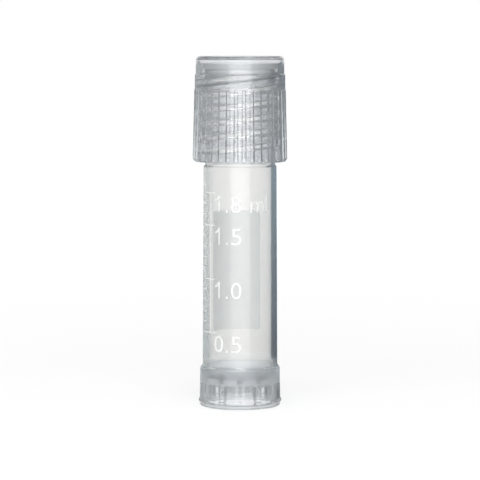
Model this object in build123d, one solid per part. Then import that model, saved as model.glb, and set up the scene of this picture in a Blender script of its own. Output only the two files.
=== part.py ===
from build123d import *
import os
from math import acos, asin, degrees, sqrt

# Screw-cap storage vial that stands on its own foot: tube, seal ring and cap.
# Frame: the origin is the centre of the foot's underside and +Z runs up the axis of the tube.
# All sizes are in millimetres. "Radius" values are measured from the axis.

# ---- Whole vial -------------------------------------------------------------------------------
total_height = 50.0          # underside of the foot to the top of the closed cap

# ---- Tube -------------------------------------------------------------------------------------
bore_radius = 4.50           # inside of the tube
neck_wall = 0.50             # wall of the neck between its thread ridges
body_wall = 0.72             # wall of the tube just under the neck
body_draft = 0.12            # how much wider the tube's outside is at the foot than at the neck
neck_shoulder = 0.25         # height of the slope from the neck out to the body
neck_below_cap = 0.45        # how much of the neck shows under the closed cap
mouth_round = 0.15           # rounding of both edges of the mouth

# ---- Rounded floor ----------------------------------------------------------------------------
floor_rise = 2.80            # how far the dome inside would rise to meet the bore without its corner
floor_corner = 1.50          # radius that joins the dome to the bore
floor_wall = 0.90            # thickness of the floor
floor_lift = 1.60            # height of the floor's underside above the foot's underside, in the middle

# ---- Foot -------------------------------------------------------------------------------------
foot_height = 5.95           # where the foot meets the tube
foot_step = 0.34             # how far the foot stands out from the tube at its top
foot_slope = 0.50            # height of the slope that leads out to it
foot_draft = 0.10            # how much wider the foot is at its rim than at its top
skirt_wall = 0.50            # wall of the hollow foot at its top
skirt_ceiling = 4.20         # height of the ledge inside the foot
bead_height = 0.80           # middle of the bead round the foot
bead_half = 0.30             # half of its height
bead_size = 0.17             # how far the bead stands out
rim_round = 0.30             # outer rounding of the foot's rim
foot_rib_count = 12
foot_rib_width = 0.75
foot_rib_depth = 0.80        # how far a rib reaches in from the skirt's inner face
foot_rib_lift = 0.50         # height of the ribs' lower ends

# ---- Thread, two ridges side by side, right-hand -----------------------------------------------
thread_starts = 2
thread_lead = 4.00           # rise of the cap in one turn
ridge_height = 0.50
ridge_base = 0.95            # width of a ridge where it leaves its wall
ridge_crest = 0.45
ridge_run_out = 0.80         # height over which a ridge's ends rise from the wall to the crest
thread_clearance = 0.15      # between a crest and the wall that faces it
neck_thread_length = 9.60    # from the lowest to the highest point of the neck's ridges
neck_thread_drop = 1.10      # from the mouth down to the highest point of the ridges
neck_thread_turn = 38.0      # degrees that the ridges are turned about the axis
cap_thread_lift = 1.20       # from the cap's rim up to the lowest point of its ridges
cap_thread_gap = 0.20        # from the highest point of its ridges up to the ring's seat

# ---- Cap --------------------------------------------------------------------------------------
cap_height = 15.00
cap_top = 1.00               # thickness of the top plate
cap_wall = 0.63              # wall of the smooth band near the top plate
cap_draft = 0.13             # how much the cap's outside widens from its top to its rim, apart from its step
cap_step = 0.13              # how far the cap stands out below the band round its top plate
cap_step_drop = 2.50         # from the cap's top down to that step
cap_top_round = 0.60
cap_rim_round = 0.10
cap_lead_in = 0.15           # chamfer inside the rim
knurl_top = 4.70             # from the cap's top down to the upper ends of the grip ribs
knurl_count = 36
knurl_recess = 0.10          # how far the wall between the ribs lies back at their upper ends
knurl_height = 0.22          # how far a grip rib stands out from that wall at the rim
knurl_top_height = 0.16      # and at its upper end
knurl_width = 0.78           # width of a grip rib where it leaves the wall
knurl_tip = 0.42
knurl_rim_gap = 0.10         # plain rim under the grip ribs

# ---- Seal ring --------------------------------------------------------------------------------
seal_thickness = 0.85
seal_inner_radius = 3.90
seal_side_gap = 0.10         # between the ring and the wall of its seat
seal_overhang = 0.30         # how far the ring reaches past the neck's wall
seat_depth = 1.25            # depth of the seat in the cap's ceiling, which takes the ring and the mouth

# ---- How far ribs and ridges go into the wall they stand on, so that each moulding is one solid ---
ridge_sink = 0.12
ridge_over = 0.10            # how far the cones that end a ridge reach past its two faces
rib_sink = 0.10

# ---- Worked out from the sizes above ------------------------------------------------------------
neck_radius = bore_radius + neck_wall
body_radius = bore_radius + body_wall
neck_crest = neck_radius + ridge_height
cap_bore = neck_crest + thread_clearance
cap_crest = neck_radius + thread_clearance
cap_radius = cap_bore + cap_wall
seal_radius = neck_radius + seal_overhang
seat_radius = seal_radius + seal_side_gap

cap_rim_z = total_height - cap_height
cap_step_z = total_height - cap_step_drop
knurl_low_z = cap_rim_z + knurl_rim_gap
knurl_high_z = total_height - knurl_top
ceiling_z = total_height - cap_top
mouth_z = ceiling_z - seal_thickness
thread_pitch = thread_lead / thread_starts
neck_thread_top = mouth_z - neck_thread_drop
neck_thread_bottom = neck_thread_top - neck_thread_length
ridge_middle_z = neck_thread_bottom - thread_lead * neck_thread_turn / 360
cap_thread_bottom = cap_rim_z + cap_thread_lift
seat_z = ceiling_z - seat_depth
cap_thread_top = seat_z - cap_thread_gap
body_top_z = cap_rim_z - neck_below_cap - neck_shoulder

floor_inside_z = floor_lift + floor_wall
floor_dome = (bore_radius**2 + floor_rise**2) / (2 * floor_rise)
underside_dome = floor_dome + floor_wall


def cone_radius(narrow, extra, from_z, to_z, z):
    """Radius at height z of a wall that widens by extra from from_z to to_z."""
    return narrow + extra * (z - from_z) / (to_z - from_z)


def body_radius_at(z):
    return cone_radius(body_radius, body_draft, body_top_z, foot_height, z)


foot_top_radius = body_radius_at(foot_height) + foot_step


def foot_radius_at(z):
    return cone_radius(foot_top_radius, foot_draft, foot_height, 0, z)


def cap_radius_at(z):
    """Radius of the cap's outside at height z, without the grip ribs and their recess."""
    step = cap_step if z < cap_step_z else 0
    return cone_radius(cap_radius, cap_draft, total_height, cap_rim_z, z) + step


def turned(outline):
    """Solid of revolution about the Z axis from a closed outline given as (radius, height)."""
    return revolve(Plane.XZ * make_face(outline), Axis.Z)


def ridges(root, crest, sink, bottom, top, centre_z):
    """Helical ridges that stand on the cylinder of radius root and reach inwards or outwards to crest.

    sink is how far a ridge goes into its wall. They run from bottom to top, where a cone cuts them so
    that they run out, and centre_z is a height at which the middle of a ridge crosses the XZ plane.
    """
    out = 1 if crest > root else -1
    slope = (ridge_base - ridge_crest) / 2 / ridge_height
    sunk_half = ridge_base / 2 + slope * sink
    start_z = bottom - ridge_base
    path = Helix(pitch=thread_lead, height=top + ridge_base - start_z, radius=root, center=(0, 0, start_z))
    across = Plane(origin=path @ 0, x_dir=(1, 0, 0), z_dir=path % 0)
    section = across * make_face(
        Polyline(
            (-out * sink, -sunk_half),
            (out * ridge_height, -ridge_crest / 2),
            (out * ridge_height, ridge_crest / 2),
            (-out * sink, sunk_half),
            close=True,
        )
    )
    ridge = sweep(section, path=path, is_frenet=True)

    past_crest = crest + out * ridge_over
    past_run = ridge_run_out * (past_crest - root) / (crest - root)
    back = root - out * (sink + ridge_over)
    envelope = turned(
        Polyline(
            (back, bottom), (root, bottom), (past_crest, bottom + past_run),
            (past_crest, top - past_run), (root, top), (back, top),
            close=True,
        )
    )
    first_turn = 360 * (start_z - centre_z) / thread_lead
    turns = [first_turn + 360 * i / thread_starts for i in range(thread_starts)]
    return [(Rot(0, 0, turn) * ridge) & envelope for turn in turns]


def domed_floor():
    """Outline of the floor inside: an arc centred on the axis, and the corner that joins it to the bore.

    The corner touches the bore and lies inside the dome, so its middle is floor_corner from the bore
    and floor_dome - floor_corner from the middle of the dome.
    """
    dome_z = floor_inside_z + floor_dome
    reach = bore_radius - floor_corner
    turn = degrees(asin(reach / (floor_dome - floor_corner)))
    dome = CenterArc((0, dome_z), floor_dome, -90, arc_size=turn)
    drop = sqrt((floor_dome - floor_corner) ** 2 - reach**2)
    corner = CenterArc((reach, dome_z - drop), floor_corner, turn - 90, arc_size=90 - turn)
    return dome, corner


def vial_body():
    """Tube, rounded floor, hollow foot and neck as one turned outline, before ribs and thread."""
    underside_middle_z = floor_lift + underside_dome
    ledge_angle = degrees(acos((underside_middle_z - skirt_ceiling) / underside_dome))
    underside = CenterArc((0, underside_middle_z), underside_dome, -90, arc_size=ledge_angle)
    rim_radius = foot_radius_at(0)
    skirt_in = Polyline(
        underside @ 1,
        (foot_radius_at(skirt_ceiling) - skirt_wall, skirt_ceiling),
        (rim_radius - skirt_wall, 0),
        (rim_radius - rim_round, 0),
    )
    rim = RadiusArc(skirt_in @ 1, (foot_radius_at(rim_round), rim_round), -rim_round)
    bead_low, bead_high = bead_height - bead_half, bead_height + bead_half
    foot_low = Line(rim @ 1, (foot_radius_at(bead_low), bead_low))
    bead = ThreePointArc(
        foot_low @ 1,
        (foot_radius_at(bead_height) + bead_size, bead_height),
        (foot_radius_at(bead_high), bead_high),
    )
    slope_z = foot_height - foot_slope
    outside = Polyline(
        bead @ 1,
        (foot_radius_at(slope_z), slope_z),
        (body_radius_at(foot_height), foot_height),
        (body_radius, body_top_z),
        (neck_radius, body_top_z + neck_shoulder),
        (neck_radius, mouth_z - mouth_round),
    )
    mouth_out = RadiusArc(outside @ 1, (neck_radius - mouth_round, mouth_z), -mouth_round)
    mouth = Line(mouth_out @ 1, (bore_radius + mouth_round, mouth_z))
    mouth_in = RadiusArc(mouth @ 1, (bore_radius, mouth_z - mouth_round), -mouth_round)
    dome, corner = domed_floor()
    bore = Line(mouth_in @ 1, corner @ 1)
    axis = Line((0, floor_inside_z), (0, floor_lift))
    return turned(
        [underside, skirt_in, rim, foot_low, bead, outside,
         mouth_out, mouth, mouth_in, bore, corner, dome, axis]
    )


def foot_ribs():
    """Upright ribs inside the hollow foot, joined to its wall and to the underside of the floor."""
    inner = foot_radius_at(skirt_ceiling) - skirt_wall - foot_rib_depth
    outer = foot_radius_at(skirt_ceiling) - skirt_wall / 2
    rib = Pos((inner + outer) / 2, 0, foot_rib_lift) * Box(
        outer - inner, foot_rib_width, skirt_ceiling + rib_sink - foot_rib_lift,
        align=(Align.CENTER, Align.CENTER, Align.MIN),
    )
    return [Rot(0, 0, 360 * i / foot_rib_count) * rib for i in range(foot_rib_count)]


def make_vial():
    thread = ridges(neck_radius, neck_crest, ridge_sink, neck_thread_bottom, neck_thread_top, ridge_middle_z)
    return vial_body() + foot_ribs() + thread


def cap_body():
    """Top plate, smooth band, skirt and the seat of the ring as one turned outline.

    Under the band the wall steps back by knurl_recess, and comes out again towards the rim.
    """
    top = Line((0, total_height), (cap_radius - cap_top_round, total_height))
    top_edge = RadiusArc(
        top @ 1, (cap_radius_at(total_height - cap_top_round), total_height - cap_top_round), cap_top_round
    )
    step_end_z = cap_step_z - cap_step
    side_low = cap_rim_z + cap_rim_round
    side = Polyline(
        top_edge @ 1,
        (cap_radius_at(cap_step_z), cap_step_z),
        (cap_radius_at(step_end_z), step_end_z),
        (cap_radius_at(knurl_high_z), knurl_high_z),
        (cap_radius_at(knurl_high_z) - knurl_recess, knurl_high_z - knurl_recess),
        (cap_radius_at(side_low), side_low),
    )
    rim_edge = RadiusArc(side @ 1, (cap_radius_at(cap_rim_z) - cap_rim_round, cap_rim_z), cap_rim_round)
    inside = Polyline(
        rim_edge @ 1,
        (cap_bore + cap_lead_in, cap_rim_z),
        (cap_bore, cap_rim_z + cap_lead_in),
        (cap_bore, seat_z),
        (seat_radius, seat_z),
        (seat_radius, ceiling_z),
        (0, ceiling_z),
    )
    axis = Line(inside @ 1, (0, total_height))
    return turned([top, top_edge, side, rim_edge, inside, axis])


def grip_ribs():
    """Upright grip ribs round the skirt: they lean with its wall and get lower towards their upper ends.

    Each is a straight bar of knurl_height, and a turned envelope cuts it down to the cone of the
    tips and to a slope at each end.
    """
    height = knurl_high_z - knurl_low_z
    root = cap_radius_at(knurl_low_z)
    lean = root - cap_radius_at(knurl_high_z) + knurl_recess
    section = Plane.XY.offset(knurl_low_z) * make_face(
        Polyline(
            (root - rib_sink, -knurl_width / 2),
            (root, -knurl_width / 2),
            (root + knurl_height, -knurl_tip / 2),
            (root + knurl_height, knurl_tip / 2),
            (root, knurl_width / 2),
            (root - rib_sink, knurl_width / 2),
            close=True,
        )
    )
    up = Vector(-lean, 0, height)
    rib = extrude(section, amount=up.length, dir=up)
    end_slope = knurl_top_height - knurl_recess
    envelope = turned(
        Polyline(
            (cap_bore, knurl_low_z), (root, knurl_low_z), (root + knurl_height, knurl_low_z + knurl_height),
            (root - lean + knurl_top_height, knurl_high_z - end_slope),
            (root - lean + knurl_recess, knurl_high_z), (cap_bore, knurl_high_z),
            close=True,
        )
    )
    rib = rib & envelope
    return [Rot(0, 0, 360 * i / knurl_count) * rib for i in range(knurl_count)]


def make_screw_cap():
    groove_middle_z = ridge_middle_z + thread_pitch / 2
    thread = ridges(cap_bore, cap_crest, ridge_sink, cap_thread_bottom, cap_thread_top, groove_middle_z)
    return cap_body() + grip_ribs() + thread


def make_seal_ring():
    blank = Cylinder(seal_radius, seal_thickness) - Cylinder(seal_inner_radius, seal_thickness)
    return Pos(0, 0, mouth_z + seal_thickness / 2) * blank


os.makedirs("parts", exist_ok=True)
nodes = {"vial": make_vial(), "screw_cap": make_screw_cap(), "seal_ring": make_seal_ring()}
for name, piece in nodes.items():
    export_step(piece, f"parts/{name}.step")
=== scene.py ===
from math import acos, asin, degrees, pi, radians, sqrt

import bmesh
import bpy
import numpy as np
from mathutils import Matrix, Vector


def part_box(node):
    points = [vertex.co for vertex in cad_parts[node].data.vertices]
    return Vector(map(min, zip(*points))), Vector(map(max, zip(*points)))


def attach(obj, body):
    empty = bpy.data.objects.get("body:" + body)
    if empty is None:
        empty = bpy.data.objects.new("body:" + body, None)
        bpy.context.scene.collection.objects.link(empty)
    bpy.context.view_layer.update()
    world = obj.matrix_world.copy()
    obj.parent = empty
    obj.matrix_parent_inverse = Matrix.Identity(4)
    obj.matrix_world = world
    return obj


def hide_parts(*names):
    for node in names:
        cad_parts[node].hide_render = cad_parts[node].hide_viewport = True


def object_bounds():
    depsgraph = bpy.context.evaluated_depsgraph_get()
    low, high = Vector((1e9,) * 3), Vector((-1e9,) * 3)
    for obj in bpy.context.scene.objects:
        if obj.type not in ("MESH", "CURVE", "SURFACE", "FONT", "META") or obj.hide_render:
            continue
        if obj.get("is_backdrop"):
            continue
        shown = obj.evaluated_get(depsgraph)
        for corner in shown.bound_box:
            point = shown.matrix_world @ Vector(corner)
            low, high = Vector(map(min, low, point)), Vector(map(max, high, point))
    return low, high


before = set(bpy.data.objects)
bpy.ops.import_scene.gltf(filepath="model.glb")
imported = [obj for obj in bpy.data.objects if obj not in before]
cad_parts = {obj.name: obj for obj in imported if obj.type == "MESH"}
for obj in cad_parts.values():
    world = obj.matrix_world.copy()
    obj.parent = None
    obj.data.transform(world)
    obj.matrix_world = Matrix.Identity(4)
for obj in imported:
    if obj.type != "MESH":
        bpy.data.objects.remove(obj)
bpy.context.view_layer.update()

# ---- Tube, foot and neck ------------------------------------------------------------------------
# One injection moulding in clear polypropylene. A core pin leaves its smooth bore and round floor,
# a second core the hollow foot with its twelve ribs, and a split mould the outside, with the
# two-start thread on the neck.
mm = 0.001
mouth_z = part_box("vial")[1].z
bore_radius = 4.50 * mm
neck_radius = 5.00 * mm
body_radius = 5.22 * mm
body_draft = 0.12 * mm
body_top_z = 34.30 * mm
neck_shoulder = 0.25 * mm
mouth_round = 0.15 * mm

floor_inside_z = 2.50 * mm
floor_wall = 0.90 * mm
floor_corner = 1.50 * mm
floor_rise = 2.80 * mm

foot_height = 5.95 * mm
foot_step = 0.34 * mm
foot_slope = 0.50 * mm
foot_draft = 0.10 * mm
skirt_wall = 0.50 * mm
skirt_ceiling = 4.20 * mm
bead_height = 0.80 * mm
bead_half = 0.30 * mm
bead_size = 0.17 * mm
rim_round = 0.30 * mm
foot_ribs = 12
foot_rib_width = 0.75 * mm
foot_rib_depth = 0.80 * mm
foot_rib_lift = 0.50 * mm

thread_lead = 4.00 * mm
thread_pitch = thread_lead / 2
ridge_height = 0.50 * mm
ridge_base = 0.95 * mm
ridge_crest = 0.45 * mm
ridge_run_out = 0.80 * mm
ridge_start_turn = 38
neck_thread_top = mouth_z - 1.10 * mm
neck_thread_bottom = neck_thread_top - 9.60 * mm
ridge_middle_z = neck_thread_bottom - thread_lead * ridge_start_turn / 360
same_point = 0.00002 * mm


def arc(middle, radius, start, end, count):
    """Points of a circle's arc in the half-plane (radius, height), from start to end in degrees."""
    turn = np.radians(np.linspace(start, end, count))
    return np.column_stack((middle[0] + radius * np.cos(turn), middle[1] + radius * np.sin(turn)))


def straight(start, end, count):
    """count points on the line from start to end, with both ends."""
    share = np.linspace(0, 1, count)[:, None]
    return (1 - share) * np.asarray(start) + share * np.asarray(end)


def body_radius_at(z):
    """The tube's outside widens evenly by body_draft from under the neck down to the foot."""
    return body_radius + body_draft * (body_top_z - z) / (body_top_z - foot_height)


def foot_radius_at(z):
    """The foot's outside widens evenly by foot_draft from its top down to its rim."""
    return body_radius_at(foot_height) + foot_step + foot_draft * (foot_height - z) / foot_height


def soft_step(share):
    """A slope from 0 to 1 whose two corners are rounded: half straight line, half 3s^2 - 2s^3."""
    share = np.clip(share, 0, 1)
    return 0.5 * share + 0.5 * share * share * (3 - 2 * share)


def ridge_at(z, angle, centre_z, bottom, top):
    """Height of the thread's ridges over their wall at height z and angle round the axis.

    A ridge's middle climbs by thread_lead in one turn, and the next ridge is thread_pitch above.
    Across it the height is a trapezium with softened corners, and towards bottom and top it is no
    more than a slope of ridge_height in ridge_run_out, so that the ends run out.
    """
    off = z - centre_z - thread_lead * angle / (2 * pi)
    off = np.abs((off + thread_pitch / 2) % thread_pitch - thread_pitch / 2)
    across = soft_step((ridge_base / 2 - off) / ((ridge_base - ridge_crest) / 2))
    along = np.clip(np.minimum(z - bottom, top - z) / ridge_run_out, 0, 1)
    return ridge_height * np.minimum(across, along)


def thread_rings(angle, centre_z, bottom, top):
    """Heights of the rings that carry a thread: they climb with the angle as its ridges do.

    Each ridge has the same few rings, given in halves of its base from its middle: close together
    on its flanks, then three in the valley above. Where a ring would pass bottom or top it is held
    there. The second value is how many rings one turn climbs.
    """
    flank = np.array([0.474, 0.61, 0.74, 0.87, 1.0])
    crest = [-0.2, 0.2]
    valley = [1.37315, 1.84665, 2.3675]
    offsets = np.concatenate((-flank[::-1], crest, flank, valley)) * ridge_base / 2
    lowest = int(np.floor((bottom - thread_lead - centre_z) / thread_pitch)) - 2
    highest = int(np.ceil((top - centre_z) / thread_pitch)) + 2
    middles = centre_z + thread_pitch * np.arange(lowest, highest + 1)
    start = np.sort((middles[:, None] + offsets).ravel())
    height = start[:, None] + thread_lead * angle[None, :] / (2 * pi)
    needed = (height.max(1) > bottom) & (height.min(1) < top)
    first, last = np.flatnonzero(needed)[[0, -1]]
    height = np.clip(height[max(first - 1, 0):last + 2], bottom, top)
    return height, round(len(offsets) * thread_lead / thread_pitch)


def add_object(name, data):
    """A new object of the scene, at the origin, that holds data."""
    made = bpy.data.objects.new(name, data)
    bpy.context.scene.collection.objects.link(made)
    return made


def merged_mesh(name, points, faces, sliver=0.0):
    """A mesh whose coinciding points are merged, and whose edges shorter than sliver are removed."""
    mesh = bpy.data.meshes.new(name)
    mesh.from_pydata(points, [], faces)
    work = bmesh.new()
    work.from_mesh(mesh)
    bmesh.ops.remove_doubles(work, verts=work.verts, dist=same_point)
    if sliver:
        bmesh.ops.dissolve_degenerate(work, edges=work.edges, dist=sliver)
    work.to_mesh(mesh)
    work.free()
    return mesh


def shade_smooth(mesh, below):
    """Smooth shading over every edge that bends by less than below degrees."""
    mesh.polygons.foreach_set("use_smooth", np.ones(len(mesh.polygons), bool))
    mesh.set_sharp_from_angle(angle=radians(below))


def turned_piece(name, rings, threads=(), smooth_below=32):
    """A closed mesh from rings of points round the Z axis, each given as (radius, height, angle).

    Point j of a ring is at (radius cos angle, radius sin angle, height), and a face joins points j
    and j + 1 of two neighbouring rings. The last point joins the first one of the same ring, but in
    a thread, given as (first ring, last ring, rings in a turn), it joins the ring that a turn
    climbs to. Points that coincide, as on the axis, are merged.
    """
    radius, height, angle = (np.concatenate([ring[i] for ring in rings]) for i in range(3))
    count, lines = radius.shape
    points = np.stack((radius * np.cos(angle), radius * np.sin(angle), height), 2).reshape(-1, 3)
    after = np.arange(count)
    for first, last, turn in threads:
        after[first:last + 1] = np.clip(after[first:last + 1] + turn, first, last)
    here = np.arange(count * lines).reshape(count, lines)
    there = np.column_stack((here[:, 1:], here[after, 0]))
    faces = np.stack((here[:-1], there[:-1], there[1:], here[1:]), 2).reshape(-1, 4)
    mesh = merged_mesh(name, points, faces, sliver=same_point / 2)
    shade_smooth(mesh, smooth_below)
    return add_object(name, mesh)


def round_lines(outline, angle):
    """Rings of one outline, the same at every angle."""
    points = np.asarray(outline)
    shape = np.ones((len(points), len(angle)))
    return shape * points[:, :1], shape * points[:, 1:], shape * angle[None, :]


# Upright lines of the mesh: each twelfth of the circle has one foot rib, with two lines close
# together at each of the rib's flanks.
sector = 360 / foot_ribs
rib_half = degrees(asin(foot_rib_width / 2 / (foot_radius_at(foot_rib_lift) - skirt_wall)))
flank_gap = 0.05
on_rib = np.linspace(-rib_half + flank_gap, rib_half - flank_gap, 7)
off_rib = np.linspace(rib_half + flank_gap, sector - rib_half - flank_gap, 25)
from_rib = np.tile(np.concatenate((on_rib, off_rib)), foot_ribs)
rib_share = np.tile(np.concatenate((np.ones(len(on_rib)), np.zeros(len(off_rib)))), foot_ribs)
rib_middle = np.repeat(np.arange(foot_ribs) * sector, len(on_rib) + len(off_rib))
vial_lines = np.radians(rib_middle + from_rib)

# The floor is a dome inside and another, with the same middle, underneath.
floor_dome = (bore_radius ** 2 + floor_rise ** 2) / (2 * floor_rise)
dome_z = floor_inside_z + floor_dome
under_dome = floor_dome + floor_wall
rib_face = foot_radius_at(skirt_ceiling) - skirt_wall - foot_rib_depth
rib_face_turn = degrees(asin(rib_face / under_dome)) - 90
underside = arc((0, dome_z), under_dome, -90, rib_face_turn, 14)
underside[0, 0] = 0


def rib_rings():
    """Rings of the foot's inside where the ribs are: two outlines with the same ends.

    Between ribs the outline follows the floor's underside and the ledge out to the skirt and goes
    down it. On a rib it goes straight down the rib's face and out along its lower end. A rib's
    flanks stay parallel, so the lines beside it turn a little further round nearer the axis.
    """
    wall_top = (foot_radius_at(skirt_ceiling) - skirt_wall, skirt_ceiling)
    wall_end = (foot_radius_at(foot_rib_lift) - skirt_wall, foot_rib_lift)
    ledge_turn = degrees(acos((dome_z - skirt_ceiling) / under_dome)) - 90
    under = arc((0, dome_z), under_dome, rib_face_turn, ledge_turn, 5)
    between = np.concatenate((
        under,
        straight(under[-1], wall_top, 3)[1:],
        straight(wall_top, wall_end, 9)[1:],
    ))
    on = np.concatenate((
        straight(under[0], (rib_face, foot_rib_lift), 9),
        straight((rib_face, foot_rib_lift), wall_end, 7)[1:],
    ))
    share = rib_share[None, :]
    radius = share * on[:, :1] + (1 - share) * between[:, :1]
    height = share * on[:, 1:] + (1 - share) * between[:, 1:]
    half = np.degrees(np.arcsin(foot_rib_width / 2 / radius))
    gap = (from_rib - rib_half) / (sector - 2 * rib_half)
    turned = np.where(share > 0.5, from_rib * half / rib_half, half + gap * (sector - 2 * half))
    return radius, height, np.radians(rib_middle + turned)


rim_radius = foot_radius_at(0)
bead_low, bead_high = bead_height - bead_half, bead_height + bead_half
bead_arc = (bead_half ** 2 + bead_size ** 2) / (2 * bead_size)
bead_turn = degrees(asin(bead_half / bead_arc))
bead_middle = (foot_radius_at(bead_height) + bead_size - bead_arc, bead_height)
slope_z = foot_height - foot_slope
foot_outside = np.concatenate((
    straight((rim_radius - skirt_wall, 0), (rim_radius - rim_round, 0), 3),
    arc((rim_radius - rim_round, rim_round), rim_round, -90, 0, 8)[1:],
    [(foot_radius_at(bead_low), bead_low)],
    arc(bead_middle, bead_arc, -bead_turn, bead_turn, 10)[1:],
    straight((foot_radius_at(bead_high + 0.3 * mm), bead_high + 0.3 * mm),
             (foot_radius_at(slope_z), slope_z), 5),
    straight((body_radius_at(foot_height), foot_height), (body_radius, body_top_z), 10),
    straight((neck_radius, body_top_z + neck_shoulder),
             (neck_radius, neck_thread_bottom - 0.5 * mm), 3),
))

neck_ends = (ridge_middle_z, neck_thread_bottom, neck_thread_top)
neck_z, neck_turn = thread_rings(vial_lines, *neck_ends)
neck_angle = np.ones_like(neck_z) * vial_lines[None, :]
neck_thread = (neck_radius + ridge_at(neck_z, neck_angle, *neck_ends), neck_z, neck_angle)

corner_reach = bore_radius - floor_corner
corner_turn = degrees(asin(corner_reach / (floor_dome - floor_corner)))
corner_z = dome_z - sqrt((floor_dome - floor_corner) ** 2 - corner_reach ** 2)
inside = np.concatenate((
    straight((neck_radius, neck_thread_top + 0.4 * mm), (neck_radius, mouth_z - mouth_round), 2),
    arc((neck_radius - mouth_round, mouth_z - mouth_round), mouth_round, 0, 90, 6)[1:],
    arc((bore_radius + mouth_round, mouth_z - mouth_round), mouth_round, 90, 180, 6),
    straight((bore_radius, mouth_z - 3 * mm), (bore_radius, corner_z), 8),
    arc((corner_reach, corner_z), floor_corner, 0, corner_turn - 90, 9)[1:],
    arc((0, dome_z), floor_dome, corner_turn - 90, -90, 16)[1:],
))
inside[-1, 0] = 0

foot_inside = rib_rings()
before = len(underside) - 1 + len(foot_inside[0]) + len(foot_outside)
vial = turned_piece(
    "moulded_tube",
    [
        round_lines(underside[:-1], vial_lines),
        foot_inside,
        round_lines(foot_outside, vial_lines),
        neck_thread,
        round_lines(inside, vial_lines),
    ],
    threads=[(before, before + len(neck_z) - 1, neck_turn)],
)


def add_node(tree, kind, place, values=None, **settings):
    """A node of that kind at place, with its settings and the values of its inputs.

    Each of values, by the input's name or number, is a number, a colour or another node's output.
    """
    node = tree.nodes.new(kind)
    node.location = place
    for name, setting in settings.items():
        setattr(node, name, setting)
    for socket, value in (values or {}).items():
        if hasattr(value, "links"):
            tree.links.new(value, node.inputs[socket])
        else:
            node.inputs[socket].default_value = value
    return node


def noise(tree, coords, scale, detail, rough, place):
    """A noise texture that reads coords."""
    values = {"Vector": coords, "Scale": scale, "Detail": detail, "Roughness": rough}
    return add_node(tree, "ShaderNodeTexNoise", place, values).outputs["Fac"]


def level(tree, value, low, high, place, start=0.0, end=1.0):
    """Maps value from start..end to low..high, and holds it there."""
    values = {"Value": value, "From Min": start, "From Max": end, "To Min": low, "To Max": high}
    return add_node(tree, "ShaderNodeMapRange", place, values).outputs["Result"]


def reckon(tree, operation, first, second, place, clamp=False):
    """What a Math node makes of first and second, each a number or another node's output."""
    values = {0: first, 1: second}
    node = add_node(tree, "ShaderNodeMath", place, values, operation=operation, use_clamp=clamp)
    return node.outputs[0]


def blend(tree, share, first, second, place):
    """The colour that goes from first to second as share goes from 0 to 1."""
    values = {"Factor": share, "A": first, "B": second}
    return add_node(tree, "ShaderNodeMix", place, values, data_type="RGBA").outputs["Result"]


def number_group(name, given, made):
    """A node group whose sockets are numbers: given has a value for each input, made the outputs."""
    group = bpy.data.node_groups.new(name, "ShaderNodeTree")
    for socket, value in given.items():
        entry = group.interface.new_socket(socket, in_out="INPUT", socket_type="NodeSocketFloat")
        entry.default_value = value
    for socket in made:
        group.interface.new_socket(socket, in_out="OUTPUT", socket_type="NodeSocketFloat")
    return group


def turned_zone():
    """A mask of 1 between radii Inner and Outer from the Z axis and between heights Low and High.

    Each of the four limits is softened over Edge. The heights rise by Climb in one turn from the +X
    side. Where Count is not 0 the mask is only upright lines, on both sides of Count ribs round the
    axis: Middle and Half place them and give their width, as shares of the distance between ribs.
    """
    group = number_group("turned_zone", {
        "Inner": 0.0, "Outer": 1.0, "Low": -1.0, "High": 1.0, "Edge": 0.2 * mm,
        "Climb": 0.0, "Count": 0.0, "Middle": 0.0, "Half": 0.1,
    }, ("Mask",))
    given = add_node(group, "NodeGroupInput", (-900, 0)).outputs
    coords = add_node(group, "ShaderNodeTexCoord", (-700, 200)).outputs["Object"]
    flat = add_node(group, "ShaderNodeVectorMath", (-500, 300), {0: coords, 1: (1, 1, 0)},
                    operation="MULTIPLY").outputs["Vector"]
    reach = add_node(group, "ShaderNodeVectorMath", (-300, 300), {0: flat},
                     operation="LENGTH").outputs["Value"]
    parts = add_node(group, "ShaderNodeSeparateXYZ", (-300, 100), {0: coords}).outputs
    turn = reckon(group, "ARCTAN2", parts["Y"], parts["X"], (-300, -200))
    turn = reckon(group, "MULTIPLY", turn, 1 / (2 * pi), (-100, -200))
    climbed = reckon(group, "MULTIPLY", turn, given["Climb"], (100, 0))
    height = reckon(group, "SUBTRACT", parts["Z"], climbed, (300, 0))
    steps = reckon(group, "MULTIPLY", turn, given["Count"], (100, -200))
    off = reckon(group, "PINGPONG", steps, 0.5, (300, -200))
    off = reckon(group, "SUBTRACT", off, given["Middle"], (450, -200))
    off = reckon(group, "ABSOLUTE", off, 0, (600, -200))
    off = reckon(group, "DIVIDE", off, given["Half"], (750, -200))
    mask = reckon(group, "SUBTRACT", 1.5, off, (900, -200), clamp=True)
    limits = (
        (reach, given["Inner"]), (given["Outer"], reach),
        (height, given["Low"]), (given["High"], height),
    )
    for step, (more, less) in enumerate(limits):
        past = reckon(group, "SUBTRACT", more, less, (0, 700 - 200 * step))
        share = reckon(group, "DIVIDE", past, given["Edge"], (200, 700 - 200 * step), clamp=True)
        mask = reckon(group, "MULTIPLY", mask, share, (400 + 150 * step, 600 - 150 * step))
    add_node(group, "NodeGroupOutput", (1200, 0), {"Mask": mask})
    return group


zone = turned_zone()


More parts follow.
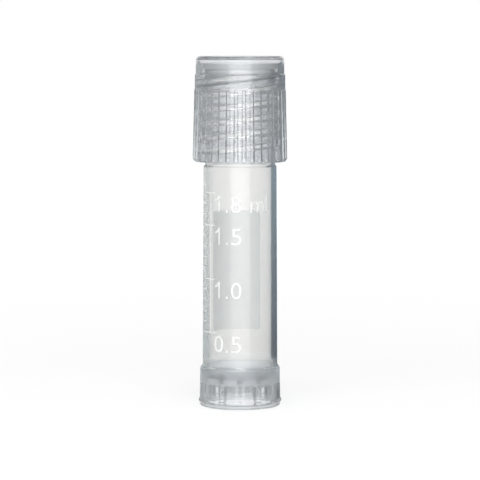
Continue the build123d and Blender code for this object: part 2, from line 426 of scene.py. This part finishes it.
def moulded_skin():
    """What the mould leaves on clear plastic: slow waves of the flow, fine pits and a faint haze.

    Height is slow waves times Waves plus pits times Pits. Roughness goes from Smooth to Dull with a
    cloudy pattern, and Haze is that cloud by itself. Waves and cloud are drawn out upright.
    """
    group = number_group("moulded_skin", {"Smooth": 0.03, "Dull": 0.10, "Waves": 1.0, "Pits": 0.1},
                         ("Roughness", "Height", "Haze"))
    given = add_node(group, "NodeGroupInput", (-700, 300)).outputs
    coords = add_node(group, "ShaderNodeTexCoord", (-700, 0)).outputs["Object"]
    drawn = add_node(group, "ShaderNodeMapping", (-500, 0),
                     {"Vector": coords, "Scale": (1, 1, 0.35)}).outputs["Vector"]
    waves = noise(group, drawn, scale=420, detail=2, rough=0.4, place=(-250, 200))
    pits = noise(group, coords, scale=9000, detail=2, rough=0.6, place=(-250, 0))
    cloud = noise(group, drawn, scale=900, detail=4, rough=0.55, place=(-250, -200))
    high = reckon(group, "MULTIPLY", waves, given["Waves"], (100, 200))
    height = add_node(group, "ShaderNodeMath", (500, 100), {0: pits, 1: given["Pits"], 2: high},
                      operation="MULTIPLY_ADD").outputs[0]
    dull = level(group, cloud, given["Smooth"], given["Dull"], (300, -200))
    add_node(group, "NodeGroupOutput", (900, 0), {"Roughness": dull, "Height": height, "Haze": cloud})
    return group


skin = moulded_skin()


def empty_material(name):
    """A material whose nodes are still to be made."""
    made = bpy.data.materials.new(name)
    made.use_nodes = True
    made.node_tree.nodes.clear()
    return made


def clear_plastic(name, pale, deep, smooth, dull, waves, pits, clear, absorb, density, zones=(),
                  ior=1.49, sheen=0.8):
    """Clear moulded plastic: glass with the mould's skin, a little haze, and a faint colour inside.

    Each of zones is a part of the mould with another finish, and with painted shade or a painted
    highlight in its colour: what it adds to the roughness, the colour that it takes there, and the
    sockets of its mask.
    """
    made = empty_material(name)
    tree = made.node_tree
    values = {"Smooth": smooth, "Dull": dull, "Waves": waves, "Pits": pits}
    marks = add_node(tree, "ShaderNodeGroup", (-500, 0), values, node_tree=skin).outputs
    colour = blend(tree, marks["Haze"], (*pale, 1), (*deep, 1), (-300, 300))
    rough = marks["Roughness"]
    for step, (dullness, painted_shade_tint, limits) in enumerate(zones):
        across, up = 50 * step - 100, 250 * step + 700
        part = add_node(tree, "ShaderNodeGroup", (-500, up), node_tree=zone)
        for socket, limit in limits.items():
            part.inputs[socket].default_value = limit
        mask = part.outputs["Mask"]
        duller = reckon(tree, "MULTIPLY", mask, dullness, (-300, up))
        rough = reckon(tree, "ADD", rough, duller, (across, up))
        # Each zone's colour is painted shade where it is darker than the plastic, and a painted
        # highlight where it is paler.
        colour = blend(tree, mask, colour, (*painted_shade_tint, 1), (across, 500))
    bump = add_node(tree, "ShaderNodeBump", (-200, -100), {
        "Strength": 0.5, "Distance": 0.02 * mm, "Height": marks["Height"],
    })
    surface = add_node(tree, "ShaderNodeBsdfPrincipled", (100, 200), {
        "Base Color": colour, "Roughness": rough, "Normal": bump.outputs["Normal"],
        "Transmission Weight": clear, "IOR": ior, "Coat Weight": sheen, "Coat Roughness": 0.48,
    })
    through = add_node(tree, "ShaderNodeBsdfTransparent", (100, -300), {
        "Color": (0.95, 0.955, 0.955, 1),
    })
    path = add_node(tree, "ShaderNodeLightPath", (100, 500)).outputs
    shader = surface.outputs["BSDF"]
    for ray, place in (("Is Diffuse Ray", (450, 200)), ("Is Shadow Ray", (650, 100))):
        ends = {"Fac": path[ray], 1: shader, 2: through.outputs["BSDF"]}
        shader = add_node(tree, "ShaderNodeMixShader", place, ends).outputs["Shader"]
    inside = add_node(tree, "ShaderNodeVolumeAbsorption", (450, -200), {
        "Color": (*absorb, 1), "Density": density,
    })
    add_node(tree, "ShaderNodeOutputMaterial", (900, 0), {
        "Surface": shader, "Volume": inside.outputs["Volume"],
    })
    return made


# Where the tube's finish changes, and where shade or highlight is painted into its colour:
# (dullness, colour with painted shade or highlight, limits of the zone's mask).
vial_zones = (
    # The floor and the foot as a whole, thicker than the tube above them, and greyed by painted shade.
    (0.0, (0.87, 0.88, 0.89), {"High": 6.2 * mm, "Edge": 0.3 * mm}),
    # The skirt's wall, darkened by painted shade, and strips in it at the edges of the ribs whose
    # colour goes back to white, as painted highlights.
    (0.0, (0.60, 0.62, 0.64),
     {"Inner": 5.25 * mm, "Low": 1.8 * mm, "High": 3.9 * mm, "Edge": 0.4 * mm}),
    (0.0, (1.0, 1.0, 1.0),
     {"Inner": 5.3 * mm, "Low": 0.7 * mm, "High": 3.9 * mm, "Edge": 0.2 * mm,
      "Count": foot_ribs, "Middle": 0.15, "Half": 0.07}),
    # The floor's dome, darkened by painted shade; its dull underside and ledge, whose colour is white;
    # and its corner with the bore, dull and a little darker in colour.
    (0.04, (0.54, 0.56, 0.59), {"Outer": 4.4 * mm, "High": 5.0 * mm, "Edge": 0.3 * mm}),
    (0.50, (1.0, 1.0, 1.0),
     {"Inner": 4.2 * mm, "Outer": 5.4 * mm, "Low": 3.2 * mm, "High": 4.6 * mm, "Edge": 0.1 * mm}),
    (0.32, (0.93, 0.94, 0.95),
     {"Inner": 4.0 * mm, "Outer": 4.8 * mm, "Low": 4.9 * mm, "High": 7.2 * mm, "Edge": 0.4 * mm}),
    # The foot's rim, darkened by painted shade, and the frosted band above the ribs, which is greyed
    # by painted shade as well.
    (0.10, (0.72, 0.74, 0.75), {"High": 1.0 * mm, "Edge": 0.5 * mm}),
    (0.55, (0.82, 0.84, 0.87),
     {"Inner": 5.3 * mm, "Low": 3.3 * mm, "High": 5.7 * mm, "Edge": 0.3 * mm}),
    # The neck, and its mouth.
    (0.0, (0.98, 0.98, 0.98), {"Low": 35.2 * mm, "High": mouth_z - 0.95 * mm, "Edge": 0.2 * mm}),
    (0.05, (0.80, 0.81, 0.82), {"Low": mouth_z - 1.15 * mm, "Edge": 0.3 * mm}),
)
vial.data.materials.append(clear_plastic(
    "clear_polypropylene", pale=(0.95, 0.945, 0.935), deep=(0.885, 0.885, 0.875), smooth=0.04,
    dull=0.09, waves=1.0, pits=0.12, clear=0.93, absorb=(0.45, 0.62, 0.68), density=25,
    zones=vial_zones, sheen=0.5))
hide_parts("vial")
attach(vial, "tube")

# ---- Printed scale ------------------------------------------------------------------------------
# White ink, pad-printed on the outside of the tube: an upright line, short marks each tenth of a
# millilitre, long marks each half and at the top, and the numbers. The ink is a thin film that
# holds to the plastic all over.
ink_proud = 0.012 * mm
ink_sunk = 0.020 * mm
ink_row = 0.4 * mm
half_millilitre = 7.65 * mm
lowest_mark_z = 10.82 * mm


def ink_film(across, up, corner=0.0, steps=24):
    """A thin closed patch of ink on the tube: across is two angles from the front, up two heights.

    The grid's lines are squeezed towards the middle near the patch's corners, by the height of a
    quarter circle of radius corner, and the film has an outer face, an inner face and four edges.
    """
    rows = max(2, int(np.ceil((up[1] - up[0]) / ink_row)) + 1)
    v = np.linspace(up[0], up[1], rows)
    if corner:
        bend = corner * (1 - np.cos(np.linspace(0, pi / 2, 7)))
        even = np.linspace(up[0] + corner, up[1] - corner, rows)
        v = np.unique(np.concatenate((up[0] + bend, even, up[1] - bend)))
    u = np.linspace(-1, 1, steps)
    edge = np.minimum(v - up[0], up[1] - v)
    curved = corner - np.sqrt(np.maximum(corner ** 2 - (corner - edge) ** 2, 0))
    cut = np.where(edge < corner, curved, 0)
    middle, half = radians(sum(across) / 2), radians((across[1] - across[0]) / 2)
    reach = half - cut / body_radius
    angle = middle + u[None, :] * reach[:, None] - pi / 2
    height = np.repeat(v[:, None], steps, 1)
    sides = []
    for off in (ink_proud, -ink_sunk):
        radius = body_radius_at(height) + off
        grid = np.stack((radius * np.cos(angle), radius * np.sin(angle), height), 2)
        sides.append(grid.reshape(-1, 3))
    count, lines = height.shape
    here = np.arange(count * lines).reshape(count, lines)
    face = np.stack((here[:-1, :-1], here[:-1, 1:], here[1:, 1:], here[1:, :-1]), 2).reshape(-1, 4)
    border = np.concatenate((here[0, :-1], here[:-1, -1], here[-1, :0:-1], here[:0:-1, 0]))
    ahead = np.roll(border, -1)
    size = count * lines
    rim = np.column_stack((border + size, ahead + size, ahead, border))
    return np.concatenate(sides), np.concatenate((face, face[:, ::-1] + size, rim))


def joined(name, parts):
    """One mesh from several (points, faces) pairs."""
    points, faces, start = [], [], 0
    for part_points, part_faces in parts:
        points.append(part_points)
        faces.append(part_faces + start)
        start += len(part_points)
    return merged_mesh(name, np.concatenate(points), np.concatenate(faces))


def mark_z(tenths):
    """Height of the mark for that many tenths of a millilitre."""
    return lowest_mark_z + half_millilitre * (tenths - 5) / 5


line_half = 0.075 * mm
line_turns = (-52.9, -51.3)
short_turns = (-80, -64)
long_turns = (-72, -43)
long_tenths = (5, 10, 15, 18)
marks = [ink_film(line_turns, (mark_z(5) - line_half, mark_z(18) + line_half))]
for tenths in range(5, 19):
    turns = long_turns if tenths in long_tenths else short_turns
    marks.append(ink_film(turns, (mark_z(tenths) - line_half, mark_z(tenths) + line_half)))
scale_mesh = joined("printed_scale", marks)

number_height = 2.35 * mm
number_drop = 0.35 * mm
number_left = -44.5
cell = 1.76 * mm
slice_width = 0.06
letter_thinning = 0.006

# Each letter's left edge and width as shares of its cell, and the cell's width.
letter_boxes = {
    "0": (0.09, 0.82, cell), "1": (0.16, 0.44, cell), "5": (0.09, 0.82, cell),
    "8": (0.09, 0.82, cell), ".": (0.30, 0.36, 0.5 * cell), " ": (0.0, 0.0, 0.5 * cell),
    "m": (0.10, 0.84, 1.45 * cell), "l": (0.25, 0.36, 0.4 * cell),
}

# The outline of a figure one with a slanting top, which the plain font's one has not.
figure_one = (
    (0.36, 0.0), (0.36, 0.70), (0.27, 0.70), (0.17, 0.59), (0.03, 0.53), (0.03, 0.455),
    (0.16, 0.49), (0.27, 0.56), (0.27, 0.0),
)


def letter(text):
    """One flat letter as a mesh cut into upright slices that can bend, its left edge and its width."""
    if text == "1":
        curve = bpy.data.curves.new("letter", "CURVE")
        curve.dimensions = "2D"
        curve.fill_mode = "BOTH"
        outline = curve.splines.new("POLY")
        outline.points.add(len(figure_one) - 1)
        outline.points.foreach_set("co", [value for x, y in figure_one for value in (x, y, 0, 1)])
        outline.use_cyclic_u = True
    else:
        curve = bpy.data.curves.new("letter", "FONT")
        curve.body = text
        curve.offset = -letter_thinning
    curve.extrude = 0.5
    curve.resolution_u = 6
    source = add_object("letter", curve)
    bpy.context.view_layer.update()
    depsgraph = bpy.context.evaluated_depsgraph_get()
    flat = bpy.data.meshes.new_from_object(source.evaluated_get(depsgraph))
    bpy.data.objects.remove(source)
    work = bmesh.new()
    work.from_mesh(flat)
    bmesh.ops.remove_doubles(work, verts=work.verts, dist=1e-5)
    low = min(v.co.x for v in work.verts)
    wide = max(v.co.x for v in work.verts) - low
    for x in np.linspace(low, low + wide, int(wide / slice_width))[1:-1]:
        everything = list(work.verts) + list(work.edges) + list(work.faces)
        bmesh.ops.bisect_plane(
            work, geom=everything, plane_co=(x, 0, 0), plane_no=(1, 0, 0), dist=1e-6)
    bmesh.ops.triangulate(work, faces=work.faces)
    work.to_mesh(flat)
    work.free()
    return flat, low, wide


def number_mesh(collect, text, top_z):
    """Adds printed figures to collect: flat letters, each in its own cell, bent round the tube.

    A point at (x, y, depth) goes to the angle number_left + x / radius and the height y, and its
    depth puts it on the ink's outer or inner face.
    """
    start = 0.0
    for one in text:
        left, share, advance = letter_boxes[one]
        if share:
            flat, low, wide = letter(one)
            at = np.empty(len(flat.vertices) * 3, np.float32)
            flat.vertices.foreach_get("co", at)
            at = at.reshape(-1, 3).astype(float)
            x = start + advance * (left + share * (at[:, 0] - low) / wide)
            height = top_z - number_height + at[:, 1] * number_height / figure_height
            angle = radians(number_left - 90) + x / body_radius
            radius = body_radius_at(height) + np.where(at[:, 2] > 0, ink_proud, -ink_sunk)
            at = np.column_stack((radius * np.cos(angle), radius * np.sin(angle), height))
            flat.vertices.foreach_set("co", at.astype(np.float32).ravel())
            flat.update()
            collect.from_mesh(flat)
        start += advance


figure_height = max(v.co.y for v in letter("0")[0].vertices)
collect = bmesh.new()
collect.from_mesh(scale_mesh)
for text, tenths in (("0.5", 5), ("1.0", 10), ("1.5", 15), ("1.8 ml", 18)):
    number_mesh(collect, text, mark_z(tenths) - number_drop)
collect.to_mesh(scale_mesh)
collect.free()
printed_scale = add_object("printed_scale", scale_mesh)


def white_ink(name, bright, worn, spots):
    """Pad-printed white ink: even colour broken by faint thin spots, and a fine dry surface."""
    made = empty_material(name)
    tree = made.node_tree
    coords = add_node(tree, "ShaderNodeTexCoord", (-1000, 0)).outputs["Object"]
    thin = noise(tree, coords, scale=spots, detail=3, rough=0.6, place=(-750, 200))
    grain = noise(tree, coords, scale=14000, detail=2, rough=0.6, place=(-750, -200))
    share = level(tree, thin, -0.6, 2.2, (-500, 200))
    bump = add_node(tree, "ShaderNodeBump", (-250, -250), {
        "Strength": 0.4, "Distance": 0.004 * mm, "Height": grain,
    })
    surface = add_node(tree, "ShaderNodeBsdfPrincipled", (0, 0), {
        "Base Color": blend(tree, share, (*worn, 1), (*bright, 1), (-250, 300)),
        "Roughness": level(tree, grain, 0.42, 0.62, (-500, -50)),
        "Normal": bump.outputs["Normal"],
    })
    add_node(tree, "ShaderNodeOutputMaterial", (300, 0), {"Surface": surface.outputs["BSDF"]})
    return made


scale_mesh.materials.append(
    white_ink("scale_ink", bright=(0.96, 0.97, 0.96), worn=(0.80, 0.82, 0.82), spots=2600))
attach(printed_scale, "tube")

# ---- Writing panel ------------------------------------------------------------------------------
# A block of the same white ink on the tube's other side, thick and matt so that it takes a pencil
# or marker. It has rounded corners, and from the front it shows through the tube.
panel_turns = (180 - 38.8, 180 + 59.5)
panel_heights = (10.40 * mm, 27.65 * mm)
panel_corner = 0.45 * mm
panel_mesh = joined("writing_panel", [
    ink_film(panel_turns, panel_heights, corner=panel_corner, steps=60),
])
shade_smooth(panel_mesh, below=40)
panel_mesh.materials.append(
    white_ink("panel_ink", bright=(0.90, 0.91, 0.91), worn=(0.84, 0.85, 0.86), spots=500))
writing_panel = add_object("writing_panel", panel_mesh)
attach(writing_panel, "tube")

# ---- Screw cap ----------------------------------------------------------------------------------
# The cap is a second clear moulding: a flat top plate, a smooth band, and a skirt with thirty-six
# upright grip ribs. The core that leaves its inside thread unscrews from it.
cap_low, cap_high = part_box("screw_cap")
cap_rim_z, cap_top_z = cap_low.z, cap_high.z
ceiling_z = cap_top_z - 1.00 * mm
cap_bore = neck_radius + ridge_height + 0.15 * mm
cap_radius = cap_bore + 0.63 * mm
cap_draft = 0.13 * mm
cap_step = 0.13 * mm
cap_step_z = cap_top_z - 2.50 * mm
cap_top_round = 0.60 * mm
cap_rim_round = 0.10 * mm
cap_lead_in = 0.15 * mm
seal_radius = neck_radius + 0.30 * mm
seat_radius = seal_radius + 0.10 * mm
seat_z = ceiling_z - 1.25 * mm
cap_thread_bottom = cap_rim_z + 1.20 * mm
cap_thread_top = seat_z - 0.20 * mm
grip_ribs = 36
grip_low = cap_rim_z + 0.10 * mm
grip_high = cap_top_z - 4.70 * mm
grip_height = 0.22 * mm
grip_top_height = 0.16 * mm
grip_recess = 0.10 * mm
grip_half = degrees(0.39 * mm / cap_radius)
grip_tip = degrees(0.21 * mm / cap_radius)


def cap_radius_at(z):
    """The cap's outside widens evenly by cap_draft down to its rim, and by cap_step at cap_step_z."""
    cone = cap_radius + cap_draft * (cap_top_z - z) / (cap_top_z - cap_rim_z)
    return cone + np.where(z < cap_step_z - cap_step / 2, cap_step, 0)


# Upright lines of the mesh: four on each flank of a grip rib, two on its tip, two between ribs.
grip_spacing = 360 / grip_ribs
flank_lines = np.linspace(grip_tip, grip_half, 4)
grip_offsets = np.concatenate((
    -flank_lines[::-1], [-grip_tip / 3, grip_tip / 3], flank_lines,
    [grip_half + 1, grip_spacing - grip_half - 1],
))
from_grip = np.tile(grip_offsets, grip_ribs)
grip_middle = np.repeat(np.arange(grip_ribs) * grip_spacing, len(grip_offsets))
cap_lines = np.radians(grip_middle + from_grip)


def grip_rings():
    """Rings of the skirt's outside: a wall that steps back under the smooth band, plus the grip ribs.

    Across a rib the height over that wall is a trapezium with softened corners. Along it the height
    is no more than the tips' line, which slopes down to the wall at both ends.
    """
    side_low = cap_rim_z + cap_rim_round
    z = np.concatenate((
        [side_low - 0.001 * mm], grip_low + grip_height * np.linspace(0.01, 1.2, 5),
        np.linspace(grip_low + 1 * mm, grip_high - 1 * mm, 6),
        grip_high - grip_recess * np.linspace(1.8, 0, 7),
        [grip_high + 1 * mm, cap_step_z - cap_step, cap_step_z, cap_top_z - cap_top_round - 0.5 * mm],
    ))
    recessed = cap_radius_at(grip_high) - grip_recess
    end_slope = grip_top_height - grip_recess
    wall = np.where(z > grip_high, cap_radius_at(z), np.interp(
        z, (side_low, grip_high - grip_recess, grip_high),
        (cap_radius_at(side_low), recessed, cap_radius_at(grip_high))))
    tips = np.interp(
        z, (grip_low, grip_low + grip_height, grip_high - end_slope, grip_high),
        (cap_radius_at(grip_low), cap_radius_at(grip_low) + grip_height,
         recessed + grip_top_height, cap_radius_at(grip_high)))
    stands_out = np.where((z > grip_low) & (z < grip_high), np.maximum(tips - wall, 0), 0)[:, None]
    shape = np.ones((len(z), len(cap_lines)))
    off = np.abs((from_grip + grip_spacing / 2) % grip_spacing - grip_spacing / 2)
    across = soft_step((grip_half - off) / (grip_half - grip_tip))[None, :]
    radius = wall[:, None] + np.minimum(grip_height * across, stands_out)
    return radius * shape, z[:, None] * shape, cap_lines[None, :] * shape


cap_ends = (ridge_middle_z + thread_pitch / 2, cap_thread_bottom, cap_thread_top)
cap_z, cap_turn = thread_rings(cap_lines, *cap_ends)
cap_z = cap_z[::-1]
cap_angle = np.ones_like(cap_z) * cap_lines[None, :]
cap_thread = (cap_bore - ridge_at(cap_z, cap_angle, *cap_ends), cap_z, cap_angle)
ceiling = np.concatenate((
    straight((0, ceiling_z), (seat_radius, ceiling_z), 12),
    straight((seat_radius, seat_z), (cap_bore, seat_z), 2),
))
rim_edge = cap_radius_at(cap_rim_z) - cap_rim_round
cap_rim = np.concatenate((
    straight((cap_bore, cap_thread_bottom - 0.4 * mm), (cap_bore, cap_rim_z + cap_lead_in), 2),
    straight((cap_bore + cap_lead_in, cap_rim_z), (rim_edge, cap_rim_z), 2),
    arc((rim_edge, cap_rim_z + cap_rim_round), cap_rim_round, -90, 0, 7)[1:-1],
))
top_round_z = cap_top_z - cap_top_round
top_middle = (cap_radius_at(top_round_z) - cap_top_round, top_round_z)
cap_top = np.concatenate((
    arc(top_middle, cap_top_round, 0, 90, 10),
    straight((top_middle[0] - 0.3 * mm, cap_top_z), (0, cap_top_z), 12),
))
before = len(ceiling)
screw_cap = turned_piece(
    "moulded_cap",
    [
        round_lines(ceiling, cap_lines),
        cap_thread,
        round_lines(cap_rim, cap_lines),
        grip_rings(),
        round_lines(cap_top, cap_lines),
    ],
    threads=[(before, before + len(cap_z) - 1, -cap_turn)],
)

# Where the cap's finish changes, and where shade is painted into its colour:
# (dullness, colour with painted shade, limits of the zone's mask).
cap_zones = (
    # The walls of the inside thread, darkened by painted shade.
    (0.0, (0.68, 0.71, 0.75),
     {"Inner": 5.5 * mm, "Outer": 5.8 * mm, "Low": cap_rim_z + 0.3 * mm, "High": seat_z,
      "Edge": 0.05 * mm}),
    # The smooth band's outside, and the top plate, both darkened by painted shade.
    (0.0, (0.84, 0.85, 0.86), {"Inner": 6.0 * mm, "Low": grip_high, "Edge": 0.3 * mm}),
    (0.0, (0.80, 0.81, 0.82), {"Low": ceiling_z}),
    # The flanks of the grip ribs, where painted shade draws dark upright lines.
    (0.10, (0.60, 0.62, 0.64),
     {"Inner": 6.0 * mm, "Low": grip_low, "High": grip_high, "Count": grip_ribs,
      "Middle": 0.27, "Half": 0.05}),
    # A dark line of painted shade that climbs round the inside of the smooth band.
    (0.10, (0.14, 0.16, 0.18),
     {"Inner": 5.0 * mm, "Outer": 5.75 * mm, "Low": cap_top_z - 2.70 * mm,
      "High": cap_top_z - 2.28 * mm, "Climb": thread_lead, "Edge": 0.05 * mm}),
)
screw_cap.data.materials.append(clear_plastic(
    "clear_cap_polypropylene", pale=(1.0, 1.0, 1.0), deep=(0.96, 0.97, 0.975), smooth=0.02,
    dull=0.05, waves=1.2, pits=0.10, clear=0.93, absorb=(0.50, 0.62, 0.68), density=15,
    zones=cap_zones, sheen=0.9))
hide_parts("screw_cap")
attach(screw_cap, "cap")

# ---- Seal ring ----------------------------------------------------------------------------------
# A flat ring of translucent silicone, pressed into the seat under the cap's top plate. The mouth of
# the tube closes against it.
seal_low, seal_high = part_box("seal_ring")
seal_inner = 3.90 * mm
seal_round = 0.08 * mm
seal_lines = np.radians(np.linspace(0, 360, 144, endpoint=False))
seal_corners = (
    (seal_radius - seal_round, seal_low.z + seal_round, -90),
    (seal_radius - seal_round, seal_high.z - seal_round, 0),
    (seal_inner + seal_round, seal_high.z - seal_round, 90),
    (seal_inner + seal_round, seal_low.z + seal_round, 180),
)
section = np.concatenate([
    arc((radius, z), seal_round, start, start + 90, 6) for radius, z, start in seal_corners])
section = np.concatenate((section, section[:1]))
seal_ring = turned_piece("silicone_ring", [round_lines(section, seal_lines)])
seal_ring.data.materials.append(clear_plastic(
    "translucent_silicone", pale=(0.58, 0.59, 0.60), deep=(0.50, 0.52, 0.53), smooth=0.25,
    dull=0.42, waves=0.5, pits=0.4, clear=0.40, absorb=(0.60, 0.66, 0.68), density=100, ior=1.41))
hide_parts("seal_ring")
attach(seal_ring, "seal")

# ---- Floor and backdrop -------------------------------------------------------------------------
# A plain pale table top that runs out of view, and an even white surround. Both are white for the
# eye and for what shows in or through clear plastic, and light the vial only at a plain level.


def seen(tree):
    """1 for rays from the eye and for those that clear plastic sends on, and 0 for all others."""
    path = add_node(tree, "ShaderNodeLightPath", (-900, 0)).outputs
    sent_on = reckon(tree, "ADD", path["Is Glossy Ray"], path["Is Transmission Ray"], (-700, -100))
    return reckon(tree, "ADD", path["Is Camera Ray"], sent_on, (-500, 0), clamp=True)


floor_size = 4.0
floor_z = -0.02 * mm
floor_corners = [(x * floor_size, y * floor_size, floor_z)
                 for x, y in ((-1, -1), (1, -1), (1, 1), (-1, 1))]
floor_mesh = bpy.data.meshes.new("floor")
floor_mesh.from_pydata(floor_corners, [], [(0, 1, 2, 3)])

# The floor glows less near the vial, where the lamps light it more, so that it is evenly white.
floor_white = empty_material("white_floor")
tree = floor_white.node_tree
coords = add_node(tree, "ShaderNodeTexCoord", (-900, -300)).outputs["Object"]
away = add_node(tree, "ShaderNodeVectorMath", (-700, -300), {0: coords},
                operation="LENGTH").outputs["Value"]
evened = level(tree, away, 0.46, 0.76, (-500, -300), start=0.05, end=0.45)
strength = reckon(tree, "MULTIPLY", seen(tree), evened, (-300, -100))
glow = add_node(tree, "ShaderNodeEmission", (-100, -100), {"Strength": strength}).outputs[0]
matt = add_node(tree, "ShaderNodeBsdfDiffuse", (-100, 100), {"Color": (0.5, 0.5, 0.5, 1)}).outputs[0]
both = add_node(tree, "ShaderNodeAddShader", (100, 0), {0: matt, 1: glow}).outputs[0]
add_node(tree, "ShaderNodeOutputMaterial", (300, 0), {"Surface": both})
floor_mesh.materials.append(floor_white)
floor = add_object("floor", floor_mesh)
floor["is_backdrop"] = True

world = bpy.data.worlds.new("studio")
world.use_nodes = True
tree = world.node_tree
tree.nodes.clear()
strength = level(tree, seen(tree), 0.48, 1.0, (-300, 0))
surround = add_node(tree, "ShaderNodeBackground", (-100, 0), {
    "Color": (1, 1, 1, 1), "Strength": strength,
}).outputs[0]
add_node(tree, "ShaderNodeOutputWorld", (100, 0), {"Surface": surround})
bpy.context.scene.world = world

# ---- Lamps and flags ----------------------------------------------------------------------------
# Soft lamps in front and above. Bent cards, called flags, stand round the vial and over it, dark on
# its right and grey on its left, and give its clear edges their lines as on a product table.


def soft_lamp(name, place, aim, width, height, power):
    """An area lamp at place that faces aim."""
    data = bpy.data.lights.new(name, "AREA")
    data.shape = "RECTANGLE"
    data.size = width
    data.size_y = height
    data.energy = power
    lamp = add_object(name, data)
    lamp.location = place
    lamp.rotation_euler = (Vector(aim) - Vector(place)).to_track_quat("-Z", "Y").to_euler()


soft_lamp("front_left_lamp", place=(-0.45, -0.55, 0.45), aim=(0, 0, 0.025),
          width=0.35, height=0.35, power=1.0)
for width, power in ((0.12, 0.40), (0.28, 0.85), (0.70, 1.9)):
    soft_lamp("front_lamp", place=(0, -0.60, 0.37), aim=(0, 0, 0.30),
              width=width, height=0.70, power=power)
soft_lamp("top_lamp", place=(0, -0.20, 0.60), aim=(0, 0, 0.03),
          width=0.24, height=0.20, power=1.5)
flag_steps = 40


def flag(name, turns, distances, heights, low_shade, high_shade):
    """A bent card round the vial, between two azimuths in degrees from straight behind.

    It goes from low_shade at its lower edge to high_shade at its upper one, and each edge has its
    own height and distance from the axis. It is there only for light that the clear plastic has
    reflected, so that its edges get their lines and the view through it stays white from all sides.
    """
    azimuth = np.radians(np.linspace(*turns, flag_steps))
    rim = np.column_stack((np.sin(azimuth), np.cos(azimuth)))
    points = np.concatenate([
        np.column_stack((rim * distance, np.full(flag_steps, height)))
        for distance, height in zip(distances, heights)])
    here = np.arange(flag_steps - 1)
    above = here + flag_steps
    mesh = bpy.data.meshes.new(name)
    mesh.from_pydata(points, [], np.column_stack((here, here + 1, above + 1, above)))
    made = empty_material(name)
    tree = made.node_tree
    coords = add_node(tree, "ShaderNodeTexCoord", (-900, 0)).outputs["Object"]
    z = add_node(tree, "ShaderNodeSeparateXYZ", (-700, 0), {0: coords}).outputs["Z"]
    share = level(tree, z, 0, 1, (-500, 0), *heights)
    shade = blend(tree, share, (*low_shade, 1), (*high_shade, 1), (-300, 0))
    matt = add_node(tree, "ShaderNodeBsdfDiffuse", (-100, 0), {"Color": shade}).outputs[0]
    depth = add_node(tree, "ShaderNodeLightPath", (-300, 300)).outputs["Glossy Depth"]
    reflected = reckon(tree, "MINIMUM", depth, 1, (-100, 300))
    clear = add_node(tree, "ShaderNodeBsdfTransparent", (-100, -150)).outputs[0]
    mix = add_node(tree, "ShaderNodeMixShader", (100, 0), {"Fac": reflected, 1: clear, 2: matt})
    add_node(tree, "ShaderNodeOutputMaterial", (300, 0), {"Surface": mix.outputs[0]})
    mesh.materials.append(made)
    piece = add_object(name, mesh)
    piece.visible_camera = False
    piece.visible_diffuse = False
    piece.visible_shadow = False
    piece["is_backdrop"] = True


wall = (34 * mm, 34 * mm)
near = (10 * mm, 10 * mm)
foot_part = (0, 4 * mm)
tube_part = (0, 34 * mm)
skirt_part = (34 * mm, 48.3 * mm)
top_part = (48.3 * mm, 60 * mm)
flag("right_flag", (0, 150), wall, tube_part, (0.0, 0.02, 0.05), (0.20, 0.27, 0.33))
flag("left_flag", (-150, 0), wall, tube_part, (0.56, 0.61, 0.62), (0.86, 0.88, 0.88))
flag("high_right_flag", (0, 150), wall, skirt_part, (0.12, 0.15, 0.18), (0.18, 0.21, 0.24))
flag("high_left_flag", (-150, 0), wall, skirt_part, (0.56, 0.59, 0.61), (0.46, 0.49, 0.51))
flag("side_right_flag", (45, 135), wall, top_part, (0.10, 0.12, 0.14), (0.10, 0.12, 0.14))
flag("side_left_flag", (-135, -45), wall, top_part, (0.18, 0.20, 0.22), (0.18, 0.20, 0.22))
flag("foot_right_flag", (25, 150), near, foot_part, (0.04, 0.06, 0.08), (0.65, 0.67, 0.70))
flag("foot_left_flag", (-150, -25), near, foot_part, (0.55, 0.57, 0.58), (1.0, 1.0, 1.0))
flag("roof_flag", (-180, 180), (30 * mm, 0.1 * mm), (62 * mm, 75 * mm),
     (0.16, 0.18, 0.20), (0.10, 0.12, 0.14))

# ---- Camera -------------------------------------------------------------------------------------
# A long lens a little above the vial, which looks slightly down on it.
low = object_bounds()[0]
eye = Vector((0, -400 * mm, low.z + 57 * mm))
aim = Vector((0, 0, low.z + 23.73 * mm))
lens = bpy.data.cameras.new("camera")
lens.lens = 210.6
lens.sensor_width = 36
camera = add_object("camera", lens)
camera.location = eye
camera.rotation_euler = (aim - eye).to_track_quat("-Z", "Y").to_euler()
bpy.context.scene.camera = camera
bpy.context.scene.view_settings.view_transform = "Standard"
